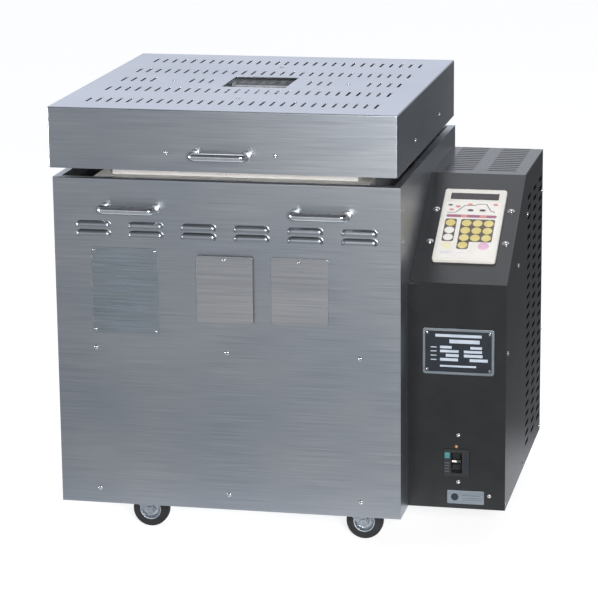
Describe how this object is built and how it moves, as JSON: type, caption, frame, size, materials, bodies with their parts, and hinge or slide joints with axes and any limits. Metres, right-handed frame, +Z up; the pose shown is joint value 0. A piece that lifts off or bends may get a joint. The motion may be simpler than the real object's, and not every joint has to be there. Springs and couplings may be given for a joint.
{
  "type": "electric kiln",
  "caption": "Top-loading electric kiln on casters: ventilated brushed stainless casing, hinged slotted lid, side control box with a sloping keypad panel",
  "frame": {"origin": "on the floor, below the centre of the overall box", "axes": "+X to the kiln's right seen from its front, where the control box is; +Y to its back, where the lid hinges are; +Z up; the front faces -Y"},
  "size_m": [0.772, 0.6882, 0.77],
  "materials": {
    "stainless": "horizontally brushed, some heat tint",
    "zinc_steel": "zinc plated, dull",
    "chrome": "polished",
    "bright_screws": "bright plated, slightly worn",
    "cover_steel": "satin, brushed",
    "plate_aluminium": "satin",
    "firebrick": "chalky, porous insulating brick",
    "ceramic": "matte refractory",
    "heating_wire": "oxidised resistance wire",
    "probe_steel": "matte",
    "black_paint": "satin black, fine texture",
    "white_plastic": "satin moulded",
    "display_lens": "dark tinted window",
    "keypad": "satin film with coloured keys",
    "breaker_plastic": "moulded",
    "lever_plastic": "moulded",
    "rubber": "matte, faint mould lines",
    "hub_zinc": "pressed and zinc plated"
  },
  "bodies": {
    "kiln": {"front_panel": "stainless", "left_panel": "stainless", "right_panel": "stainless", "rear_panel": "stainless", "base_frame": "zinc_steel", "frame_uprights": "zinc_steel", "inner_casing": "zinc_steel", "hinge_brackets": "zinc_steel", "caster_plates": "zinc_steel", "control_chassis": "zinc_steel", "body_handles": "chrome", "hinge_pins": "chrome", "casing_screws": "bright_screws", "plate_rivets": "bright_screws", "controller_screws": "bright_screws", "nameplate_screws": "bright_screws", "control_box_screws": "bright_screws", "label_plate": "plate_aluminium", "nameplate": "plate_aluminium", "wall_bricks": "firebrick", "floor_bricks": "firebrick", "floor_insulation": "ceramic", "wall_insulation": "ceramic", "sight_tubes": "ceramic", "lead_bushings": "ceramic", "element_coils": "heating_wire", "element_leads": "heating_wire", "thermocouple": "probe_steel", "control_cover": "black_paint", "control_side_panel": "black_paint", "controller_housing": "white_plastic", "controller_display": "display_lens", "controller_overlay": "keypad", "breaker_body": "breaker_plastic", "contactor": "breaker_plastic", "cable_gland": "breaker_plastic"},
    "lid": {"lid_casing": "stainless", "lid_tray": "zinc_steel", "lid_bricks": "firebrick", "lid_blanket": "ceramic", "vent_sleeve": "ceramic", "lid_screws": "bright_screws", "lid_hinge_arms": "zinc_steel", "lid_handle": "chrome"},
    "damper": {"damper_plate": "zinc_steel"},
    "left_cover": {"left_port_cover": "cover_steel"},
    "right_cover": {"right_port_cover": "cover_steel"},
    "breaker_switch": {"breaker_lever": "lever_plastic"},
    "swivel_front_left": {"fork_front_left": "zinc_steel"},
    "wheel_front_left": {"tyre_front_left": "rubber", "hub_front_left": "hub_zinc"},
    "swivel_front_right": {"fork_front_right": "zinc_steel"},
    "wheel_front_right": {"tyre_front_right": "rubber", "hub_front_right": "hub_zinc"},
    "swivel_rear_left": {"fork_rear_left": "zinc_steel"},
    "wheel_rear_left": {"tyre_rear_left": "rubber", "hub_rear_left": "hub_zinc"},
    "swivel_rear_right": {"fork_rear_right": "zinc_steel"},
    "wheel_rear_right": {"tyre_rear_right": "rubber", "hub_rear_right": "hub_zinc"}
  },
  "joints": [
    {"name": "lid_hinge", "type": "hinge", "parent": "kiln", "child": "lid", "pos_m": [-0.085, 0.32793, 0.654], "axis": [-1, 0, 0], "range_deg": [0, 95]},
    {"name": "damper_slide", "type": "slide", "parent": "lid", "child": "damper", "axis": [1, 0, 0], "range_m": [0, 0.046]},
    {"name": "left_cover_pivot", "type": "hinge", "parent": "kiln", "child": "left_cover", "pos_m": [-0.086, -0.29567, 0.5105], "axis": [0, 1, 0], "range_deg": [-90, 90]},
    {"name": "right_cover_pivot", "type": "hinge", "parent": "kiln", "child": "right_cover", "pos_m": [0.0425, -0.29037, 0.5105], "axis": [0, 1, 0], "range_deg": [-30, 45]},
    {"name": "breaker_rocker", "type": "hinge", "parent": "kiln", "child": "breaker_switch", "pos_m": [0.299, -0.20607, 0.149], "axis": [1, 0, 0], "range_deg": [0, 30]},
    {"name": "swivel_front_left", "type": "hinge", "parent": "kiln", "child": "swivel_front_left", "pos_m": [-0.2776, -0.20007, 0.0325], "axis": [0, 0, 1], "continuous": true},
    {"name": "spin_front_left", "type": "hinge", "parent": "swivel_front_left", "child": "wheel_front_left", "pos_m": [-0.2486, -0.20007, 0.0325], "axis": [0, 1, 0], "continuous": true},
    {"name": "swivel_front_right", "type": "hinge", "parent": "kiln", "child": "swivel_front_right", "pos_m": [0.1076, -0.20007, 0.0325], "axis": [0, 0, 1], "continuous": true},
    {"name": "spin_front_right", "type": "hinge", "parent": "swivel_front_right", "child": "wheel_front_right", "pos_m": [0.1366, -0.20007, 0.0325], "axis": [0, 1, 0], "continuous": true},
    {"name": "swivel_rear_left", "type": "hinge", "parent": "kiln", "child": "swivel_rear_left", "pos_m": [-0.2776, 0.21993, 0.0325], "axis": [0, 0, 1], "continuous": true},
    {"name": "spin_rear_left", "type": "hinge", "parent": "swivel_rear_left", "child": "wheel_rear_left", "pos_m": [-0.2486, 0.21993, 0.0325], "axis": [0, 1, 0], "continuous": true},
    {"name": "swivel_rear_right", "type": "hinge", "parent": "kiln", "child": "swivel_rear_right", "pos_m": [0.1076, 0.21993, 0.0325], "axis": [0, 0, 1], "continuous": true},
    {"name": "spin_rear_right", "type": "hinge", "parent": "swivel_rear_right", "child": "wheel_rear_right", "pos_m": [0.1366, 0.21993, 0.0325], "axis": [0, 1, 0], "continuous": true}
  ]
}
